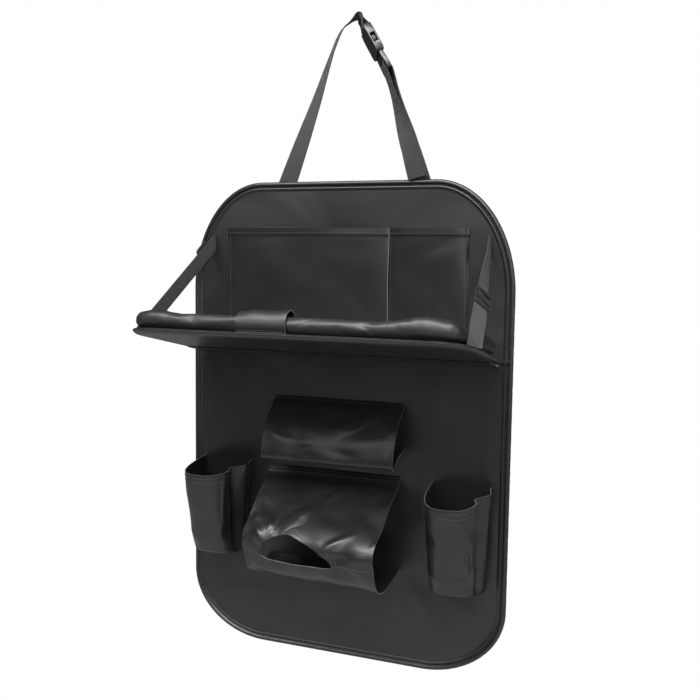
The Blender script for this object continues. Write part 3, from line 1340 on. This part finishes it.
def inflate(piece, cell, pressure, growth, sewn_to):
    """Blows a padded piece up as cloth, held where it is sewn, and returns its new mesh."""
    frames = 20
    bpy.context.view_layer.objects.active = piece
    remesh = piece.modifiers.new("even_cells", "REMESH")
    remesh.mode = "VOXEL"
    remesh.voxel_size = cell * mm
    piece.data = evaluated_mesh(piece)
    piece.modifiers.clear()
    held = piece.vertex_groups.new(name="sewn")
    held.add([int(i) for i in np.flatnonzero(sewn_to(coordinates(piece.data)))], 1.0, "REPLACE")
    cloth = piece.modifiers.new("stuffed", "CLOTH")
    cloth.settings.quality = 5
    cloth.settings.use_pressure = True
    cloth.settings.uniform_pressure_force = pressure
    cloth.settings.shrink_min = growth
    cloth.settings.vertex_group_mass = "sewn"
    cloth.settings.bending_stiffness = 0.4
    cloth.settings.effector_weights.gravity = 0
    cloth.point_cache.frame_end = frames
    for frame_number in range(1, frames + 1):
        scene.frame_set(frame_number)
    mesh = evaluated_mesh(piece)
    piece.modifiers.clear()
    scene.frame_set(1)
    return mesh


seam_rise = 2.5
blown = inflate(
    tray_rim, cell=4.5, pressure=3.0, growth=-0.004,
    sewn_to=lambda points: points[:, 2] < cover_top + gap + seam_rise,
)
# The blown roll is kept within its fullness, so that it stays clear of the straps and the tab.
points = coordinates(blown)
centres = np.column_stack([rim_line[:, 0], -rim_line[:, 1]])
nearest = np.argmin(((points[:, None, :2] - centres[None]) ** 2).sum(axis=2), axis=1)
core = np.column_stack([centres[nearest], np.full(len(points), rim_height)])
offset = points - core
under_tab = bump_at(points[:, 0], -28, 30) ** 2 * (points[:, 1] < -rim_front + 20)
limit = rim_radius * (1 + 2.0 * (rim_fullness(rim_share[nearest]) - 1)) + 0.9 * (1 - under_tab) - 0.1
offset *= np.minimum(1, limit / np.linalg.norm(offset, axis=1))[:, None]
points = points - (points - core) + offset
points[:, 2] = np.maximum(points[:, 2], cover_top + 0.2)
blown.vertices.foreach_set("co", (points * mm).ravel())
tray_rim.data = blown
finer = tray_rim.modifiers.new("finer", "SUBSURF")
finer.levels = finer.render_levels = 1
tray_rim.data = evaluated_mesh(tray_rim)
tray_rim.modifiers.clear()
tray_rim.vertex_groups.clear()
tray_rim.data.materials.clear()
tray_rim.data.materials.append(rim_leatherette)
tray_rim.data.polygons.foreach_set("use_smooth", [True] * len(tray_rim.data.polygons))
tray_rim.data.vertices.foreach_set("co", (on_tray(coordinates(tray_rim.data)) * mm).ravel())
tray_rim.data.name = "tray_rim_roll"
tray_rim.data.update()
settle(tray_rim, "tray_rim", "tray")
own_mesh(tray_rim)

# Closure tab: a strap of doubled leatherette that rises from the tray's front edge, arches over
# the rim and is sewn down behind it. It holds the rolled rim, and its ends are cut raw.

tab_width, tab_centre, tab_thickness, tab_foot, tab_slack, tab_fillet = 62, -28, 1.2, 16, 5.5, 2
inner = rim_radius + gap + tab_thickness / 2
behind = inner + tab_slack
foot = cover_top + gap + tab_thickness / 2
turn = np.linspace(-0.8, np.pi, 50)
arch_reach = inner + tab_slack / 2
tab_profile = even_steps(np.vstack([
    [(arch_reach * math.cos(turn[0]) - tab_slack / 2, cover_top + gap)],
    np.stack([
        arch_reach * np.cos(turn) - tab_slack / 2,
        rim_height + np.where(turn < 0, inner, behind) * np.sin(turn),
    ], axis=1),
    fillet((-behind, foot + tab_fillet), (-behind, foot), (-behind - tab_fillet, foot), 8),
    [(-behind - tab_foot, foot)],
]), 110)
x, v = grid(tab_centre + tab_width * np.linspace(-0.5, 0.5, 40), np.arange(len(tab_profile)))
index = v.astype(int)
out_y, height = rim_front + tab_profile[index, 0], tab_profile[index, 1]
slack = 0.35 * np.sin(x / 7.3 + 1) + 1.0 * bump_at(x - tab_centre, 31, 9)
slack = slack - 2.0 * bump_at(x - tab_centre, -31, 14)
slack = slack * np.clip((height - foot) / 8, 0, 1) * np.clip((height - rim_height) / inner, 0, 1)
middle = on_tray(np.stack([x, -out_y, height + slack], axis=2))
closure_tab = thick_sheet(
    "closure_tab_strap", middle, tab_thickness, raw=("left", "right", "start", "end"),
    material=rim_leatherette,
)
settle(closure_tab, "closure_tab", "tray")
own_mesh(closure_tab)
tab_xs = np.linspace(tab_centre - 28, tab_centre + 28, 30)
seam_places = (
    (-(rim_front + inner + 0.7), foot + 2.2), (-(rim_front - behind - tab_foot + 3), foot + 0.7),
)
sew("closure_tab_stitches", [
    on_tray(np.stack([tab_xs, np.full(30, y), np.full(30, z)], axis=1)) for y, z in seam_places
], body="tray")

# Tray straps: 20 mm webbing from a slit in the panel to the tray's side edge beside the rim.
# They stop the tray when it is down, and go slack as it folds up.

slit_x, slit_height, strap_reach, sewn_edge = 188, 232, 150, 3


def tray_strap_ends(side):
    """Where the strap leaves the panel and where it meets the tray."""
    away = np.array((side * slit_x, panel_front_y - 0.6, slit_height))
    return away, on_tray(np.array((side * (tray_half - sewn_edge), -strap_reach, 0)))


def tray_strap(name, node, side, twist=0.0):
    """Webbing from the panel to the tray, turned about its length by an angle on the way."""
    away, end = tray_strap_ends(side)
    beyond = end + unit(end - away) * tray_webbing_width
    route = [(side * slit_x, panel_front_y + 0.7, slit_height), away, beyond]
    flat, face = np.cross(unit(end - away), [1, 0, 0]), np.array([1.0, 0, 0])

    def width_way(t):
        turn = twist * smooth_step(t, 0.05, 0.7)
        return flat * math.cos(turn) - face * math.sin(turn)

    band = webbing_band(name, route, width_way, tray_webbing_width, 120)
    trim(band, on_tray(np.array((0, 0, cover_top + gap))), -tray_up)
    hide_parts(node)
    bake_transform(band)


tray_strap("tray_webbing_left", "tray_strap_left", -1)
tray_strap("tray_webbing_right", "tray_strap_right", 1, math.radians(42))

# Strap sliders: flat three-bar adjusters of the buckle's plastic. Each keeps its shape and turns
# with the webbing that it sits on, so the same share of the fold reaches the whole of it.


def strap_slider(name, node, side, twist=0.0):
    slider = rounded_moulding(name, node, None, 0.4)
    away, end = tray_strap_ends(side)
    middle = sum((Vector(corner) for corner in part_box(node)), Vector()) / 2
    about = Matrix.Rotation(twist, 4, Vector(unit(end - away)))
    slider.data.transform(Matrix.Translation(middle) @ about @ Matrix.Translation(-middle))
    # A blend a metre long across the slider gives all of it nearly the same share, along.
    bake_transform(slider)


strap_slider("strap_slider_left_moulding", "strap_slider_left", -1)
strap_slider("strap_slider_right_moulding", "strap_slider_right", 1, math.radians(38))
